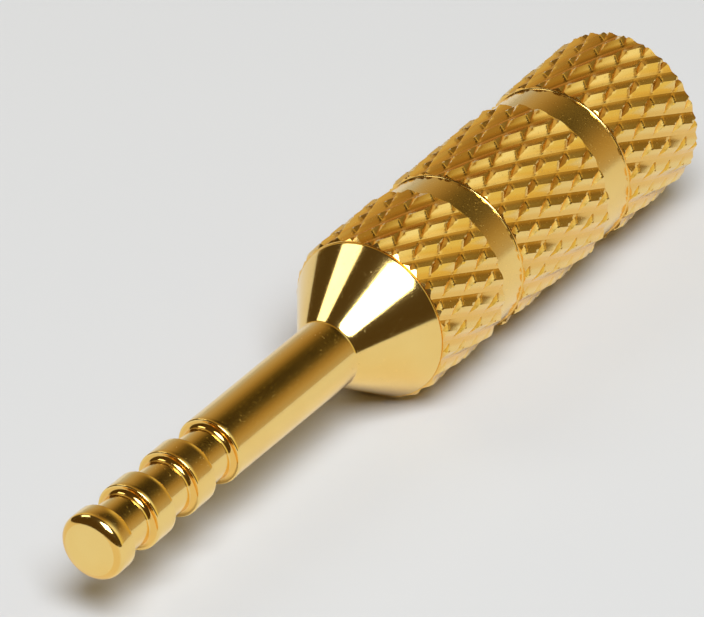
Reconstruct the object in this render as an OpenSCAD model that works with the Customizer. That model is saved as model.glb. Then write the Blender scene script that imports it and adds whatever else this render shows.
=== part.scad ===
// Speaker pin plug. A rigid grooved contact pin screws into a knurled grip barrel,
// and a slit collet between them closes on the bare wire as the barrel is tightened.
// Z runs along the plug's axis, from the barrel's cable end up to the pin's tip.

/* [Grip barrel] */
// Diameter over the knurl's tips
barrel_d = 6.3; // [6.2:0.1:8]
// Length of the barrel
barrel_l = 16.6; // [15.6:0.1:20]
// Length of the knurled band at the cable end
rear_band_l = 4.4; // [3:0.1:5]
// Width of the smooth groove ahead of the rear band
rear_groove_w = 1.5; // [0.8:0.1:2]
// Width of the smooth groove behind the front band
front_groove_w = 1.35; // [0.8:0.05:2]
// Length of the knurled band at the pin end
front_band_l = 3.85; // [2.5:0.05:5]
// How far the smooth grooves lie below the knurl's valleys
groove_step = 0.04; // [0.02:0.01:0.1]

/* [Knurl] */
// Number of knurl lines around the barrel, the same each way
knurl_starts = 23; // [16:1:30]
// Angle between the knurl lines and the axis
knurl_angle = 22.6; // [18:0.1:35]
// Depth of the deeper, right-handed knurl lines
knurl_depth = 0.16; // [0.1:0.01:0.2]
// Depth of the left-handed knurl lines that cross them
cross_depth = 0.12; // [0.05:0.01:0.2]
// Shift of the knurl's diamonds along the barrel
knurl_shift = 0.6; // [0:0.05:2]
// Bevel around each end of a knurled band
band_bevel = 0.08; // [0.04:0.01:0.09]

/* [Contact pin] */
// Diameter of the pin
pin_d = 2.5; // [2:0.1:3.2]
// Length of the pin ahead of the cone
pin_l = 14.7; // [12:0.1:18]
// Width of the rounding around the pin's tip, seen from the end
tip_round = 0.55; // [0.2:0.05:0.8]
// Length of that rounding along the pin
tip_round_l = 0.35; // [0.2:0.05:0.6]
// Length of the cone between the pin and the barrel
cone_l = 2.55; // [1.8:0.05:4]
// Height of the straight rim at the cone's foot
rim_h = 0.15; // [0.1:0.05:0.5]
// Number of grooves near the tip
pin_grooves = 3; // [1:1:4]
// Width of each groove in the pin
pin_groove_w = 1.4; // [0.8:0.1:1.6]
// Spacing of the grooves in the pin
pin_groove_pitch = 2.45; // [2:0.05:2.6]
// Depth of the grooves in the pin
pin_groove_depth = 0.28; // [0.1:0.02:0.36]
// Rounding in the corners of the pin's grooves
pin_groove_fillet = 0.2; // [0.05:0.01:0.25]
// Length of the full-size end ahead of the first groove
tip_land = 1; // [0.8:0.1:1.6]

/* [Screw joint] */
// Outside diameter of the screw thread
thread_d = 4.9; // [4.8:0.05:5]
// Rise of the thread in one turn
thread_pitch = 0.5; // [0.35:0.05:0.5]
// Length of the thread on the contact pin's shank
thread_l = 3.8; // [3:0.1:4.5]
// Length of the plain neck between the thread and the seat
neck_l = 0.6; // [0.4:0.1:1]
// Height of the thread's profile, as a share of its pitch
thread_h_share = 0.54; // [0.4:0.02:0.6]

/* [Cable and clamp] */
// Bore for the insulated cable
cable_d = 3.5; // [2.8:0.1:3.6]
// Length of the cable bore
cable_bore_l = 3; // [2:0.1:4]
// Bore for the bare wire
wire_d = 2; // [1.2:0.1:2.2]
// Depth of the wire socket in the shank, ahead of the collet
wire_socket_l = 4.8; // [3:0.1:5]
// Overall length of the collet
collet_l = 7.2; // [6.2:0.1:8]
// Length of the collet's tapered nose
nose_l = 2.2; // [1.6:0.1:3]
// Thickness of the collet's wall at the tip of its nose
nose_wall = 0.25; // [0.2:0.05:0.4]
// Half angle of the nose and of its seat
nose_angle = 11; // [8:0.5:12]
// Height of the flange at the collet's foot
flange_h = 0.8; // [0.5:0.1:1.2]
// Number of slits in the collet
collet_slits = 4; // [3:1:6]
// Width of each slit
slit_w = 0.3; // [0.2:0.05:0.4]

/* [Fits] */
// Radial gap between parts that turn or slide in one another
running_gap = 0.04; // [0.02:0.01:0.06]
// Radial room for the wire in the socket beyond the collet
wire_room = 0.1; // [0.05:0.05:0.2]
// Room along the axis between the shank and the collet's shoulder
shank_gap = 0.2; // [0.1:0.05:0.3]
// Room along the axis between the collet's nose and the socket
nose_gap = 0.4; // [0.2:0.05:0.6]

/* [Hidden] */
$fn = 96;
GOLD = [0.86, 0.66, 0.26];

// Barrel radii and the places of its bands, from the cable end
barrel_r = barrel_d / 2;
valley_r = barrel_r - knurl_depth;
floor_r = valley_r - groove_step;
mid_band_z = rear_band_l + rear_groove_w;
front_band_z = barrel_l - front_band_l;
mid_band_l = front_band_z - front_groove_w - mid_band_z;

// A knurl diamond's size along the axis, and the mesh step that hits its corners
diamond_l = 2 * PI * barrel_r / knurl_starts / tan(knurl_angle);
knurl_step = diamond_l / 4;
knurl_cols = 4 * knurl_starts;
band_root = 0.15;

// The thread's flanks meet at the pitch radius, where both plain cylinders stand
thread_half_h = thread_h_share * thread_pitch / 2;
shank_thread_r = thread_d / 2 - thread_half_h;
barrel_thread_r = shank_thread_r + running_gap;
shank_r = thread_d / 2 - 2 * thread_half_h - running_gap;
chamber_r = shank_r + running_gap;
thread_z = barrel_l - neck_l - thread_l;

// The collet stands on the shoulder above the cable bore
seat_z = cable_bore_l;
nose_z = seat_z + collet_l - nose_l;
wire_r = wire_d / 2;
nose_tip_r = wire_r + nose_wall;
collet_r = nose_tip_r + nose_l * tan(nose_angle);
shank_z = nose_z + shank_gap;
socket_r = wire_r + wire_room;
socket_z = seat_z + collet_l + nose_gap;

// The contact pin's outline
pin_r = pin_d / 2;
cone_z = barrel_l + rim_h;
pin_z = cone_z + cone_l;
tip_z = pin_z + pin_l;
edge_bevel = 0.06;
drill_angle = 31;

// Depth of a V-shaped line across one pitch: 0 at whole numbers, 1 halfway between them
function line_depth(t) = 1 - abs(2 * (t - floor(t)) - 1);

// Knurled radius at turn s (counted in knurl lines) and height z. Both ways have
// the same V shape, and the lines that are less deep are cut with it less far in.
function knurl_r(s, z) =
    let (along = (z - knurl_shift) / diamond_l)
    barrel_r - max(
        knurl_depth * line_depth(s - along),
        knurl_depth * (line_depth(s + along) - 1) + cross_depth);

// Radius limited by the bevel at the ends of a band
function band_r(s, z, low, high) =
    min(knurl_r(s, z), barrel_r - band_bevel + min(z - low, high - z));

function ring_point(r, s, z) =
    let (a = 360 * s / knurl_starts) [r * cos(a), r * sin(a), z];

// The quads on the bottom of a left-handed line fold along it
function on_cross_line(i, j) = ((i + j) % 4 + 4) % 4 == 1;

// A ring with a knurled outside between two heights, its inside buried in the barrel's wall
module knurled_band(low, length) {
    high = low + length;
    first = ceil((low + band_bevel - knurl_shift) / knurl_step + 0.2);
    last = floor((high - band_bevel - knurl_shift) / knurl_step - 0.2);
    rows = concat(
        [low, low + band_bevel],
        [for (j = [first:last]) j * knurl_step + knurl_shift],
        [high - band_bevel, high]);
    n = len(rows);
    outside = [for (z = rows, i = [0:knurl_cols - 1])
        ring_point(band_r(i / 4, z, low, high), i / 4, z)];
    inside = [for (z = [low, high], i = [0:knurl_cols - 1])
        ring_point(floor_r - band_root, i / 4, z)];
    function at(i, k) = k * knurl_cols + i % knurl_cols;
    skin = [for (k = [0:n - 2], i = [0:knurl_cols - 1])
        let (a = at(i, k), b = at(i + 1, k), c = at(i + 1, k + 1), d = at(i, k + 1))
        each on_cross_line(i, first + k - 2) ? [[a, d, b], [b, d, c]] : [[a, d, c], [a, c, b]]];
    inner = [for (i = [0:knurl_cols - 1])
        each [[at(i, n), at(i + 1, n), at(i + 1, n + 1)], [at(i, n), at(i + 1, n + 1), at(i, n + 1)]]];
    foot = [for (i = [0:knurl_cols - 1])
        each [[at(i, 0), at(i + 1, 0), at(i + 1, n)], [at(i, 0), at(i + 1, n), at(i, n)]]];
    head = [for (i = [0:knurl_cols - 1])
        each [[at(i, n - 1), at(i + 1, n + 1), at(i + 1, n - 1)],
              [at(i, n - 1), at(i, n + 1), at(i + 1, n + 1)]]];
    polyhedron(concat(outside, inside), concat(skin, inner, foot, head));
}

module grip_barrel() {
    rear_bevel = 0.3;
    mouth_bevel = 0.15;
    color(GOLD) union() {
        rotate_extrude() polygon([
            [cable_d / 2 + rear_bevel, 0],
            [floor_r, 0],
            [floor_r, barrel_l],
            [barrel_thread_r + mouth_bevel, barrel_l],
            [barrel_thread_r, barrel_l - mouth_bevel],
            [barrel_thread_r, thread_z],
            [chamber_r, thread_z - (barrel_thread_r - chamber_r)],
            [chamber_r, seat_z],
            [cable_d / 2, seat_z],
            [cable_d / 2, rear_bevel]]);
        knurled_band(0, rear_band_l);
        knurled_band(mid_band_z, mid_band_l);
        knurled_band(front_band_z, front_band_l);
    }
}

module clamp_collet() {
    entry_bevel = 0.3;
    color(GOLD) difference() {
        rotate_extrude() polygon([
            [wire_r + entry_bevel, seat_z],
            [chamber_r - running_gap, seat_z],
            [chamber_r - running_gap, seat_z + flange_h],
            [collet_r, seat_z + flange_h],
            [collet_r, nose_z],
            [nose_tip_r, nose_z + nose_l],
            [wire_r, nose_z + nose_l],
            [wire_r, seat_z + entry_bevel]]);
        for (i = [0:collet_slits - 1])
            rotate(360 * i / collet_slits)
                translate([0, -slit_w / 2, seat_z + 2 * flange_h])
                    cube([barrel_d, slit_w, collet_l]);
    }
}

// Points of an arc from one angle to another, around a centre at radius r and height z
function arc(r, z, radius, from, to, height = 0) =
    let (tall = height > 0 ? height : radius)
    [for (k = [0:5]) let (a = from + (to - from) * k / 5) [r + radius * cos(a), z + tall * sin(a)]];

// Outline of one groove in the pin, from its tip-side edge down
function pin_groove(top) =
    let (bottom = top - pin_groove_w, r = pin_r - pin_groove_depth + pin_groove_fillet)
    concat(
        [[pin_r, top + edge_bevel], [pin_r - edge_bevel, top]],
        arc(r, top - pin_groove_fillet, pin_groove_fillet, 90, 180),
        arc(r, bottom + pin_groove_fillet, pin_groove_fillet, 180, 270),
        [[pin_r - edge_bevel, bottom], [pin_r, bottom - edge_bevel]]);

module contact_pin() {
    seat_r = collet_r + running_gap / cos(nose_angle) - (shank_z - nose_z) * tan(nose_angle);
    seat_l = (seat_r - socket_r) / tan(nose_angle);
    socket_top = socket_z + wire_socket_l;
    color(GOLD) rotate_extrude() polygon(concat(
        [[0, tip_z]],
        arc(pin_r - tip_round, tip_z - tip_round_l, tip_round, 90, 0, tip_round_l),
        [for (i = [0:pin_grooves - 1]) each pin_groove(tip_z - tip_land - i * pin_groove_pitch)],
        [[pin_r, pin_z],
         [floor_r, cone_z],
         [floor_r, barrel_l],
         [shank_r, barrel_l],
         [shank_r, thread_z + thread_l],
         [shank_thread_r, thread_z + thread_l - (shank_thread_r - shank_r)],
         [shank_thread_r, thread_z + (shank_thread_r - shank_r)],
         [shank_r, thread_z],
         [shank_r, shank_z],
         [seat_r, shank_z],
         [socket_r, shank_z + seat_l],
         [socket_r, socket_top],
         [0, socket_top + socket_r * tan(drill_angle)]]));
}

grip_barrel();
clamp_collet();
contact_pin();
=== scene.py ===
import math

import bmesh
import bpy
from mathutils import Matrix, Vector


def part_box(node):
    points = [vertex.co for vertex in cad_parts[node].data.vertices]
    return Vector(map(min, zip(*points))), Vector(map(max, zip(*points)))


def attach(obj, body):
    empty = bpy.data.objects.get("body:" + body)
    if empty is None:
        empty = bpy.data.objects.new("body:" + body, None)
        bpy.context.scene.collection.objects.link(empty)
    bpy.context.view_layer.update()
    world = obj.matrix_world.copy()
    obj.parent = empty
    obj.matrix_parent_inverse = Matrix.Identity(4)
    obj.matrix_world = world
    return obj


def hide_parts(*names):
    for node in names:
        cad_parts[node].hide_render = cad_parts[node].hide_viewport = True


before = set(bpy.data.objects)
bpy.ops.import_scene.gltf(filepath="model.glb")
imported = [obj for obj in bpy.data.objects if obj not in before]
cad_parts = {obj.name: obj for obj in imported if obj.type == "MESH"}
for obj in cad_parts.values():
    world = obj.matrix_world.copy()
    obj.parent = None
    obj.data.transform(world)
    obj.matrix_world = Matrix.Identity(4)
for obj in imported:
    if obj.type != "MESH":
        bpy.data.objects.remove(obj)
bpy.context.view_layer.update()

mm = 0.001


# Small helpers for edit mode.

def deselectAll():
    bpy.ops.object.select_all(action="DESELECT")


def startEditing(piece):
    deselectAll()
    piece.select_set(True)
    bpy.context.view_layer.objects.active = piece
    bpy.ops.object.mode_set(mode="EDIT")


def stopEditing():
    bpy.ops.object.mode_set(mode="OBJECT")


def selectWhere(piece, kind, test):
    # kind is "verts", "edges" or "faces"; the test gets one of them
    mesh = bmesh.from_edit_mesh(piece.data)
    bpy.context.tool_settings.mesh_select_mode = [kind == k for k in ("verts", "edges", "faces")]
    for part in (mesh.faces, mesh.edges, mesh.verts):
        for element in part:
            element.select = False
    for element in getattr(mesh, kind):
        if test(element):
            element.select_set(True)
    bmesh.update_edit_mesh(piece.data)


def isRing(edge, radius, height):
    # an edge that runs around the axis at this radius and height
    return (all(abs(v.co.z - height) < 2e-6 for v in edge.verts)
            and all(abs(math.hypot(v.co.x, v.co.y) - radius) < 2e-6 for v in edge.verts))


def holdStraights(outline, inset):
    # two more points close to the ends of each long straight, so that the shading of a rounded corner stays beside it
    held = [outline[0]]
    for start, end in zip(outline, outline[1:]):
        length = math.dist(start, end)
        if length > 3 * inset:
            for share in (inset / length, 1 - inset / length):
                held.append(tuple(a + (b - a) * share for a, b in zip(start, end)))
        held.append(end)
    return held


def turnOnLathe(name, outline, sides, closed=False):
    # a ring is extruded and scaled from one outline point (radius, height) to the next, in millimetres
    (radius, height), *rest = [(r * mm, z * mm) for r, z in outline]
    deselectAll()
    bpy.ops.mesh.primitive_circle_add(vertices=sides, radius=radius, location=(0, 0, height))
    piece = bpy.context.object
    piece.name = piece.data.name = name
    bpy.ops.object.transform_apply(location=True)
    startEditing(piece)
    bpy.ops.mesh.select_all(action="SELECT")
    for nextRadius, nextHeight in rest:
        bpy.ops.mesh.extrude_edges_move(TRANSFORM_OT_translate={"value": (0, 0, nextHeight - height)})
        grow = nextRadius / radius
        bpy.ops.transform.resize(value=(grow, grow, 1), center_override=(0, 0, nextHeight))
        radius, height = nextRadius, nextHeight
    ends = [(r * mm, z * mm) for r, z in (outline[0], outline[-1])]
    if closed:
        selectWhere(piece, "edges", lambda e: any(isRing(e, r, z) for r, z in ends))
        bpy.ops.mesh.bridge_edge_loops()
    else:
        for r, z in ends:
            selectWhere(piece, "edges", lambda e: isRing(e, r, z))
            bpy.ops.mesh.edge_face_add()
    stopEditing()
    return piece


def roundRings(piece, corners, segments=4):
    # bevels the rings at these corners, given as (radius, height, width) in millimetres
    for radius, height, width in corners:
        startEditing(piece)
        selectWhere(piece, "edges", lambda e: isRing(e, radius * mm, height * mm))
        bpy.ops.mesh.bevel(offset=width * mm, offset_type="OFFSET", segments=segments, profile=0.5)
        stopEditing()


def finishMesh(piece, angle):
    startEditing(piece)
    bpy.ops.mesh.select_all(action="SELECT")
    bpy.ops.mesh.remove_doubles(threshold=1e-7)
    bpy.ops.mesh.normals_make_consistent(inside=False)
    stopEditing()
    bpy.ops.object.shade_smooth_by_angle(angle=math.radians(angle))


def combine(piece, tool, operation):
    # one boolean, which uses the tool up
    deselectAll()
    bpy.context.view_layer.objects.active = piece
    piece.select_set(True)
    cut = piece.modifiers.new(operation.lower(), "BOOLEAN")
    cut.operation = operation
    cut.solver = "EXACT"
    cut.object = tool
    bpy.ops.object.modifier_apply(modifier=cut.name)
    bpy.data.objects.remove(tool)


# The screw thread that pulls the plug together.

screwThread = {
    "low": 12.2,                 # where the cut thread starts and ends along the plug
    "high": 16.0,
    "pitch": 0.5,
    "crestHalf": 0.04,           # half the width of a ridge's flat crest
    "flankAngle": 30,
    "buried": 0.05,              # how far a ridge's foot sits in the metal
    "trimRoom": 0.01,
    "pinRoot": 2.17,
    "pinCrest": 2.43,
    "barrelRoot": 2.46,
    "barrelCrest": 2.19,
    "sidesPerTurn": 72,
}


def makeThreadRidge(root, crest, offset, low, high, chamferLow, chamferHigh):
    # a helical ridge from its root radius to its crest, trimmed to a ring with sloped ends
    t = screwThread
    inward = 1 if root > crest else -1
    foot = t["crestHalf"] + abs(root - crest) * math.tan(math.radians(t["flankAngle"]))
    buried = root + inward * t["buried"]
    profile = [(buried, -foot), (root, -foot), (crest, -t["crestHalf"]), (crest, t["crestHalf"]), (root, foot),
               (buried, foot)]
    turns = math.ceil((high - low) / t["pitch"]) + 2
    deselectAll()
    bpy.ops.mesh.primitive_circle_add(vertices=len(profile), radius=mm, fill_type="NOTHING")
    ridge = bpy.context.object
    ridge.name = "threadRidge"
    start = low - t["pitch"] * (1 - offset)
    for v, (r, z) in zip(ridge.data.vertices, profile):
        v.co = (r * mm, 0, (start + z) * mm)
    spin = ridge.modifiers.new("helix", "SCREW")
    spin.axis = "Z"
    spin.angle = math.tau
    spin.screw_offset = t["pitch"] * mm
    spin.iterations = turns
    spin.steps = spin.render_steps = t["sidesPerTurn"]
    spin.use_smooth_shade = False
    bpy.ops.object.modifier_apply(modifier=spin.name)
    startEditing(ridge)
    bpy.ops.mesh.select_all(action="SELECT")
    bpy.ops.mesh.remove_doubles(threshold=1e-7)
    bpy.ops.mesh.select_all(action="DESELECT")
    bpy.ops.mesh.select_mode(type="EDGE")
    bpy.ops.mesh.select_non_manifold()
    bpy.ops.mesh.edge_face_add()
    bpy.ops.mesh.select_all(action="SELECT")
    bpy.ops.mesh.normals_make_consistent(inside=False)
    stopEditing()
    tall = abs(root - crest)
    edge = crest - inward * t["trimRoom"]
    ring = [(buried, low), (root, low), (edge, low + tall * chamferLow), (edge, high - tall * chamferHigh),
            (root, high), (buried, high)]
    trim = turnOnLathe("threadTrim", ring, 2 * t["sidesPerTurn"], closed=True)
    finishMesh(trim, 30)
    combine(ridge, trim, "INTERSECT")
    return ridge


# The contact pin, from its rounded tip down to the shank inside the barrel.

contactPin = {
    "sides": 240,
    "pinRadius": 1.25,
    "tipRound": 0.55,            # width of the rounding at the tip, and its length
    "tipRoundLength": 0.35,
    "grooves": 3,
    "grooveWidth": 1.4,
    "groovePitch": 2.45,
    "grooveRadius": 0.97,
    "tipLand": 1.0,              # from the tip to the first groove
    "edge": 0.05,                # width of the small rounded edges
    "fillet": 0.2,               # rounding in the roots of the grooves
    "hold": 0.23,                # how near a corner the straights are held
    "coneHead": 19.3,
    "coneFoot": (2.97, 16.66),   # radius and height
    "rimFoot": 16.6,
    "neckRadius": 2.14,
    "shankEnd": 8.2,
    "seatMouth": 1.68,
    "socket": (1.1, 11.18, 15.4, 16.06),   # radius, lower end, upper end and drill point
}


def makeContactPin():
    p = contactPin
    t = screwThread
    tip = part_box("contact_pin")[1].z / mm
    r = p["pinRadius"]
    g = p["grooveRadius"]
    outline = [(0.3, tip)]
    for k in range(9):
        a = math.radians(90 - 90 * k / 8)
        outline.append((r - p["tipRound"] + p["tipRound"] * math.cos(a), tip - p["tipRoundLength"] * (1 - math.sin(a))))
    corners = []
    for i in range(p["grooves"]):
        top = tip - p["tipLand"] - i * p["groovePitch"]
        low = top - p["grooveWidth"]
        outline += [(r, top), (g, top), (g, low), (r, low)]
        corners += [(r, top, p["edge"]), (g, top, p["fillet"]), (g, low, p["fillet"]), (r, low, p["edge"])]
    neck = p["neckRadius"]
    foot, footHeight = p["coneFoot"]
    bore, boreLow, boreHigh, drillPoint = p["socket"]
    step = t["pinRoot"] - neck   # the thread's root stands a little proud of the neck
    outline += [(r, p["coneHead"]), (foot, footHeight), (foot, p["rimFoot"]), (neck, p["rimFoot"]), (neck, t["high"]),
                (t["pinRoot"], t["high"] - step), (t["pinRoot"], t["low"] + step), (neck, t["low"]),
                (neck, p["shankEnd"]), (p["seatMouth"], p["shankEnd"]), (bore, boreLow), (bore, boreHigh),
                (0.02, drillPoint)]
    corners += [(r, p["coneHead"], p["edge"]), (foot, footHeight, 0.04), (foot, p["rimFoot"], 0.03),
                (neck, p["shankEnd"], 0.12), (p["seatMouth"], p["shankEnd"], 0.06)]
    piece = turnOnLathe("contactPin", holdStraights(outline, p["hold"]), p["sides"])
    roundRings(piece, corners)
    finishMesh(piece, 30)
    combine(piece, makeThreadRidge(t["pinRoot"], t["pinCrest"], 0, t["low"], t["high"], 0.7, 0.7), "UNION")
    finishMesh(piece, 30)
    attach(piece, "pin")
    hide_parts("contact_pin")
    return piece


# The grip barrel: a turned sleeve with three knurled bands.

gripBarrel = {
    "length": 16.6,
    "sides": 250,                # of the turned sleeve, which don't fall on the knurl's columns
    "starts": 23,                # knurl lines each way
    "stepsPerLine": 12,          # mesh columns from one line to the next
    "diamondLength": 2.0672,
    "shift": 0.6,                # moves the diamonds along the barrel
    "lineDepth": 0.16,           # deep lines: a shallow V at the root, steeper flanks above it
    "rootHalf": 1 / 6,           # half the width of the root, as a share of the pitch
    "rootRise": 0.036,           # how far the metal rises across that half
    "crossDepth": 0.145,         # cross lines: notches over the crests
    "crossHalf": 0.25,
    "crestFlat": 0.008,          # the crests lie this far under the blank's radius
    "tipRadius": 3.15,
    "bevel": 0.08,               # of the bands' edges
    "fillet": 0.06,              # rounding in the roots of the grooves
    "hold": 0.13,
    "frontBevel": (0.16, 0.2),   # radial width and length of the bevel against the cone
    "grooves": ((4.4, 5.9), (11.4, 12.75)),
    "grooveRadius": 2.95,
    "cableBore": (1.75, 3.0),    # radius and length
    "cableMouth": (2.05, 0.3),   # radius and depth of the bore's countersink
    "chamberRadius": 2.18,
    "threadMouth": (2.52, 0.06),
}


def deepLine(turns):
    # depth of a knurl line; its root lies halfway between whole numbers of turns
    p = gripBarrel
    away = abs(turns % 1 - 0.5)
    root = p["rootHalf"]
    if away < root:
        return p["lineDepth"] - p["rootRise"] * away / root
    return p["crestFlat"] + (p["lineDepth"] - p["rootRise"] - p["crestFlat"]) * (0.5 - away) / (0.5 - root)


def crossLine(turns):
    p = gripBarrel
    away = abs(turns % 1 - 0.5)
    return p["crossDepth"] * (1 - away / p["crossHalf"])


def makeKnurledBar():
    p = gripBarrel
    sides = p["starts"] * p["stepsPerLine"]
    step = p["diamondLength"] / p["stepsPerLine"]
    start = p["shift"] - math.ceil((p["shift"] + 0.1) / step) * step
    rows = math.ceil((p["length"] + 0.1 - start) / step)
    tall = rows * step
    deselectAll()
    bpy.ops.mesh.primitive_cylinder_add(vertices=sides, radius=p["tipRadius"] * mm, depth=tall * mm,
                                        location=(0, 0, (start + tall / 2) * mm))
    bar = bpy.context.object
    bpy.ops.object.transform_apply(location=True)
    startEditing(bar)
    selectWhere(bar, "edges", lambda e: abs(e.verts[0].co.z - e.verts[1].co.z) > step * mm / 2)
    bpy.ops.mesh.subdivide(number_cuts=rows - 1)
    selectWhere(bar, "faces", lambda f: abs(f.normal.z) < 0.5)
    bpy.ops.mesh.poke()
    stopEditing()
    deepest = p["lineDepth"]
    depths = bar.vertex_groups.new(name="depth")
    for v in bar.data.vertices:
        around = math.atan2(v.co.y, v.co.x) / math.tau * p["starts"]
        along = (v.co.z / mm - p["shift"]) / p["diamondLength"]
        depths.add([v.index], max(deepLine(around - along), crossLine(around + along)) / deepest, "REPLACE")
    press = bar.modifiers.new("rolled lines", "DISPLACE")
    press.vertex_group = depths.name
    press.direction = "NORMAL"
    press.mid_level = 0
    press.strength = -deepest * mm
    bpy.ops.object.modifier_apply(modifier=press.name)
    return bar


def makeGripBarrel():
    p = gripBarrel
    t = screwThread
    big = p["tipRadius"] + 0.02  # clear of the knurl's crests
    out = p["tipRadius"] - p["bevel"]
    slope = big - out
    cableMouth, cableMouthDepth = p["cableMouth"]
    outline = [(cableMouth, 0), (out, 0), (big, slope)]
    corners = []
    for low, high in p["grooves"]:
        outline += [(big, low - slope), (out, low), (p["grooveRadius"], low), (p["grooveRadius"], high), (out, high),
                    (big, high + slope)]
        corners += [(p["grooveRadius"], low, p["fillet"]), (p["grooveRadius"], high, p["fillet"])]
    bore, boreLength = p["cableBore"]
    bevelWidth, bevelLength = p["frontBevel"]
    threadMouth, threadMouthDepth = p["threadMouth"]
    outline += [(big, p["length"] - bevelLength), (big - bevelWidth, p["length"]), (threadMouth, p["length"]),
                (t["barrelRoot"], p["length"] - threadMouthDepth), (t["barrelRoot"], t["low"]),
                (p["chamberRadius"], t["low"] - 0.2), (p["chamberRadius"], boreLength), (bore, boreLength),
                (bore, cableMouthDepth)]
    blank = turnOnLathe("gripBarrel", holdStraights(outline, p["hold"]), p["sides"], closed=True)
    roundRings(blank, corners)
    finishMesh(blank, 30)
    combine(blank, makeKnurledBar(), "INTERSECT")
    ridge = makeThreadRidge(t["barrelRoot"], t["barrelCrest"], 0.5, t["low"], p["length"] - 0.1, 0, 1)
    combine(blank, ridge, "UNION")
    finishMesh(blank, 24)
    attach(blank, "barrel")
    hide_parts("grip_barrel")
    return blank


# Finishes.

class Wire:
    # one output of a node; arithmetic on it adds Math nodes
    def __init__(self, tree, socket):
        self.tree = tree
        self.socket = socket

    def node(self, kind, settings=None, inputs=None, output=0):
        made = self.tree.nodes.new(kind)
        for name, setting in (settings or {}).items():
            if name == "stops":
                while len(made.color_ramp.elements) < len(setting):
                    made.color_ramp.elements.new(0.5)
                for stop, (place, shade) in zip(made.color_ramp.elements, setting):
                    stop.position = place
                    stop.color = (*shade, 1) if hasattr(shade, "__len__") else (shade, shade, shade, 1)
            else:
                setattr(made, name, setting)
        for name, feed in (inputs or {}).items():
            if isinstance(feed, Wire):
                self.tree.links.new(feed.socket, made.inputs[name])
            else:
                made.inputs[name].default_value = feed
        return Wire(self.tree, made.outputs[output])

    def maths(self, operation, *feeds):
        return self.node("ShaderNodeMath", {"operation": operation}, dict(enumerate(feeds)))

    def smooth(self, start, end):
        return self.node("ShaderNodeMapRange", {"interpolation_type": "SMOOTHSTEP"},
                         {"Value": self, "From Min": start, "From Max": end})

    def __add__(self, other):
        return self.maths("ADD", self, other)

    def __mul__(self, other):
        return self.maths("MULTIPLY", self, other)

    def __sub__(self, other):
        return self.maths("SUBTRACT", self, other)

    def __rsub__(self, other):
        return self.maths("SUBTRACT", other, self)

    __radd__ = __add__
    __rmul__ = __mul__


goldPlate = {
    "colour": (1.0, 0.72, 0.25),
    "redderToneAndRootShade": (0.95, 0.55, 0.12),     # a redder gold: the plate's own tone where it lies in random patches, and painted shade where it is laid into the roots of the cuts
    "rootShadeShare": 0.75,                # how much of the redder gold the roots of the cuts take, as painted shade
    "patches": 420.0,                 # how many patches, grains and turning rings there are to the metre
    "grains": 11000.0,
    "turningRings": 9000.0,
    # the last entry is the band of radii, in millimetres, of the roots of the cuts, which get the redder gold as
    # painted shade
    "pin": {"roughness": 0.12, "anisotropy": 0.3, "rings": 0.35, "specks": 0.5, "paintedRootShade": (0.98, 1.18)},
    "barrel": {"roughness": 0.16, "anisotropy": 0.0, "rings": 0.0, "specks": 0.8, "paintedRootShade": (2.965, 3.06)},
    "collet": {"roughness": 0.24, "anisotropy": 0.0, "rings": 0.3, "specks": 0.4, "paintedRootShade": (1.1, 1.3)},
}


def makeGold(name, look):
    material = bpy.data.materials.new(name)
    material.use_nodes = True
    tree = material.node_tree
    shader = tree.nodes["Principled BSDF"]
    place = Wire(tree, tree.nodes.new("ShaderNodeTexCoord").outputs["Object"])
    along = place.node("ShaderNodeSeparateXYZ", inputs={0: place}, output=2)
    flat = place.node("ShaderNodeVectorMath", {"operation": "MULTIPLY"}, {0: place, 1: (1, 1, 0)})
    radius = flat.node("ShaderNodeVectorMath", {"operation": "LENGTH"}, {0: flat}, "Value")
    low, high = (r * mm for r in look["paintedRootShade"])
    # painted shade: a mask by radius over the roots of the cuts, where the gold is painted redder
    paintedRootShade = radius.smooth(low - 0.01 * mm, low + 0.01 * mm) * radius.smooth(high + 0.04 * mm, high - 0.04 * mm)
    patches = place.node("ShaderNodeTexNoise", {}, {"Vector": place, "Scale": goldPlate["patches"], "Detail": 3.0})
    grains = place.node("ShaderNodeTexNoise", {}, {"Vector": place, "Scale": goldPlate["grains"], "Detail": 2.0})
    rings = place.node("ShaderNodeTexNoise", {"noise_dimensions": "1D"},
                       {"W": along * goldPlate["turningRings"], "Scale": 1.0, "Detail": 2.0})
    pits = grains.smooth(0.62, 0.75)
    amount = patches.node("ShaderNodeMapRange", {},
                          {"Value": patches, "From Min": 0.35, "From Max": 0.7, "To Max": 0.35})
    # the redder gold goes on in random patches as the plate's own tone, and in the roots as painted shade
    share = amount.maths("MAXIMUM", amount, paintedRootShade * goldPlate["rootShadeShare"])
    colour = share.node("ShaderNodeMix", {"data_type": "RGBA"},
                         {0: share, 6: (*goldPlate["colour"], 1), 7: (*goldPlate["redderToneAndRootShade"], 1)}, 2)
    tree.links.new(colour.socket, shader.inputs["Base Color"])
    roughness = look["roughness"] + (patches - 0.5) * 0.12 + pits * 0.15
    tree.links.new(roughness.socket, shader.inputs["Roughness"])
    height = rings * look["rings"] + grains * (0.25 * look["specks"]) - pits * look["specks"]
    bump = height.node("ShaderNodeBump", {}, {"Height": height, "Strength": 0.3, "Distance": 0.002 * mm})
    tree.links.new(bump.socket, shader.inputs["Normal"])
    shader.inputs["Metallic"].default_value = 1
    shader.inputs["Anisotropic"].default_value = look["anisotropy"]
    shader.inputs["Anisotropic Rotation"].default_value = 0.25
    return material


# Camera, floor and light.

camera = {
    "distance": 430.9 * mm,      # from the point that it looks at
    "lookAt": (0.675 * mm, 0, 16.95 * mm),
    "elevation": 45.34,          # degrees above the barrel's end face
    "roll": 129.37,              # the plug lies across the picture
    "lens": 638.5,
}


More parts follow.
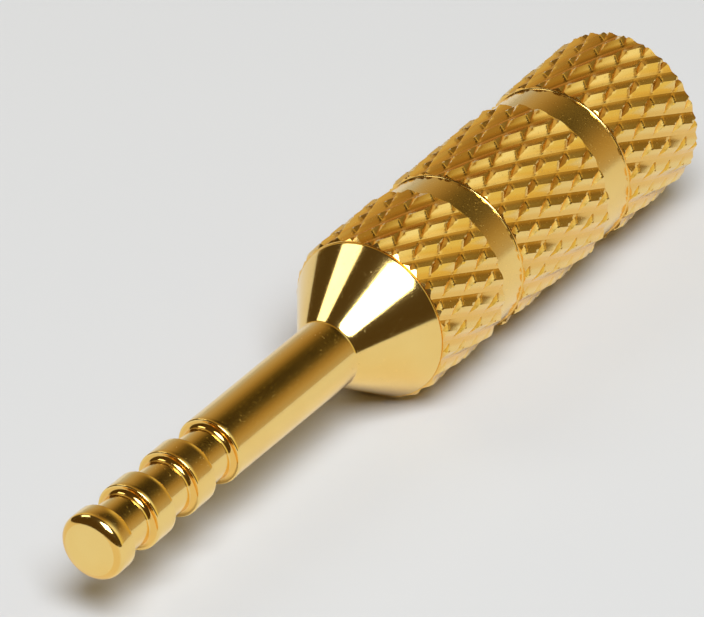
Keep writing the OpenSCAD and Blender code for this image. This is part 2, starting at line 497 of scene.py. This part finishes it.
def addCamera():
    elevation = math.radians(camera["elevation"])
    back = Vector((0, -math.cos(elevation), math.sin(elevation)))
    bpy.ops.object.camera_add()
    shot = bpy.context.object
    shot.data.lens = camera["lens"]
    shot.data.clip_start = 0.01
    shot.data.clip_end = 10
    shot.location = Vector(camera["lookAt"]) + back * camera["distance"]
    roll = Matrix.Rotation(math.radians(-camera["roll"]), 3, "Z").to_quaternion()
    shot.rotation_mode = "QUATERNION"
    shot.rotation_quaternion = back.to_track_quat("Z", "Y") @ roll
    bpy.context.scene.camera = shot


floor = {
    "up": Vector((0.655, -0.756, 0)).normalized(),   # the plug lies on its side on the floor
    "size": 0.8,
    "colour": (0.65, 0.65, 0.65),
}


def fromFloor(azimuth, elevation):
    # a direction over the floor: azimuth 0 is where the pin points, and 90 is to the camera's right
    up = floor["up"]
    along = Vector((0, 0, 1))
    side = up.cross(along)
    a, e = math.radians(azimuth), math.radians(elevation)
    return along * math.cos(a) * math.cos(e) + side * math.sin(a) * math.cos(e) + up * math.sin(e)


def addFloor():
    deselectAll()
    up = floor["up"]
    middle = Vector((0, 0, 17 * mm)) - up * gripBarrel["tipRadius"] * mm
    tilt = up.to_track_quat("Z", "Y").to_euler()
    bpy.ops.mesh.primitive_plane_add(size=floor["size"], location=middle, rotation=tilt)
    plane = bpy.context.object
    plane.name = "floor"
    material = bpy.data.materials.new("floor")
    material.use_nodes = True
    tree = material.node_tree
    shader = tree.nodes["Principled BSDF"]
    shader.inputs["Base Color"].default_value = (*floor["colour"], 1)
    shader.inputs["Roughness"].default_value = 0.9
    shader.inputs["Specular IOR Level"].default_value = 0.2
    geometry = tree.nodes.new("ShaderNodeNewGeometry")
    clear = tree.nodes.new("ShaderNodeBsdfTransparent")
    mix = tree.nodes.new("ShaderNodeMixShader")
    tree.links.new(geometry.outputs["Backfacing"], mix.inputs[0])
    tree.links.new(shader.outputs[0], mix.inputs[1])
    tree.links.new(clear.outputs[0], mix.inputs[2])
    tree.links.new(mix.outputs[0], tree.nodes["Material Output"].inputs["Surface"])
    plane.data.materials.append(material)


lamps = {
    "front": {"azimuth": 40, "elevation": 58, "distance": 0.8, "size": (0.46, 0.46),
              "radiance": 12.5, "colour": (0.88, 0.93, 1)},
    "window": {"azimuth": -83, "elevation": 43, "distance": 0.5, "size": (0.16, 0.21),
               "radiance": 2.4, "colour": (1, 1, 0.97)},
}


def addLamps():
    for name, lamp in lamps.items():
        way = fromFloor(lamp["azimuth"], lamp["elevation"])
        light = bpy.data.lights.new(name, "AREA")
        light.shape = "RECTANGLE"
        light.size, light.size_y = lamp["size"]
        light.energy = lamp["radiance"] * math.pi * light.size * light.size_y
        light.color = lamp["colour"]
        made = bpy.data.objects.new(name, light)
        bpy.context.collection.objects.link(made)
        made.location = Vector((0, 0, 17 * mm)) + way * lamp["distance"]
        right = floor["up"].cross(way).normalized()
        made.rotation_mode = "QUATERNION"
        made.rotation_quaternion = Matrix((right, way.cross(right), way)).transposed().to_quaternion()


room = {
    "dark": (0.075, 0.05, 0.02),      # the unlit side of the room
    "wall": [                          # the wall behind the cable end, from the floor up
        (0.00, (0.5, 0.5, 0.5)), (0.14, (0.47, 0.39, 0.28)), (0.33, (0.43, 0.32, 0.16)), (0.47, (0.34, 0.23, 0.09)),
        (0.593, (0.2, 0.13, 0.045)), (0.65, (0.1, 0.07, 0.022)), (0.72, (0.03, 0.02, 0.008)),
        (1.0, (0.06, 0.04, 0.015))],
    "sides": [                         # the room left, above and right of that wall, from left to right
        (0.18, (0.62, 0.48, 0.22)), (0.35, (0.35, 0.22, 0.07)), (0.5, (0.36, 0.23, 0.06)), (0.55, (0.5, 0.38, 0.13)),
        (0.65, (0.8, 0.75, 0.5)), (0.73, (0.95, 0.97, 0.85)), (0.81, (0.9, 0.9, 0.72)), (0.88, (0.76, 0.66, 0.3))],
    "end": [                           # straight behind the cable end, from left to right
        (0.2, (0.38, 0.26, 0.1)), (0.28, (0.38, 0.24, 0.07)), (0.35, (0.5, 0.35, 0.09)), (0.45, (0.74, 0.58, 0.23)),
        (0.55, (0.66, 0.5, 0.17)), (0.65, (0.6, 0.42, 0.12))],
}


def addWorld():
    world = bpy.data.worlds.new("room")
    bpy.context.scene.world = world
    world.use_nodes = True
    tree = world.node_tree
    background = tree.nodes["Background"]
    way = Wire(tree, tree.nodes.new("ShaderNodeTexCoord").outputs["Generated"])

    def towards(direction):
        return way.node("ShaderNodeVectorMath", {"operation": "DOT_PRODUCT"}, {0: way, 1: tuple(direction)}, "Value")

    def paint(colour, share, shade):
        return share.node("ShaderNodeMix", {"data_type": "RGBA"},
                          {0: share, 6: colour, 7: shade if isinstance(shade, Wire) else (*shade, 1)}, 2)

    height = towards(floor["up"])
    right = towards(fromFloor(90, 0))
    behind = towards((0, 0, -1))
    wall = height.node("ShaderNodeValToRGB", {"stops": room["wall"]}, {"Fac": height + right * 0.136})
    across = right * 0.5 + 0.5
    sides = across.node("ShaderNodeValToRGB", {"stops": room["sides"]}, {"Fac": across})
    end = across.node("ShaderNodeValToRGB", {"stops": room["end"]}, {"Fac": across})
    colour = paint((*room["dark"], 1), behind.smooth(0.2, 0.38), sides)
    colour = paint(colour, behind.smooth(0.58, 0.63), wall)
    colour = paint(colour, behind.smooth(0.75, 0.79), end)
    colour = paint(colour, behind.smooth(0.82, 0.86) * 0.75, room["dark"])
    tree.links.new(colour.socket, background.inputs["Color"])


bpy.context.scene.view_settings.view_transform = "Standard"
addCamera()
addFloor()
addLamps()
addWorld()

pin = makeContactPin()
print("contact pin modelled")
barrel = makeGripBarrel()
print("grip barrel modelled")
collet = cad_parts["clamp_collet"]
for piece, part in ((pin, "pin"), (barrel, "barrel"), (collet, "collet")):
    piece.data.materials.clear()
    piece.data.materials.append(makeGold(part + "Gold", goldPlate[part]))
print("gold plate on")
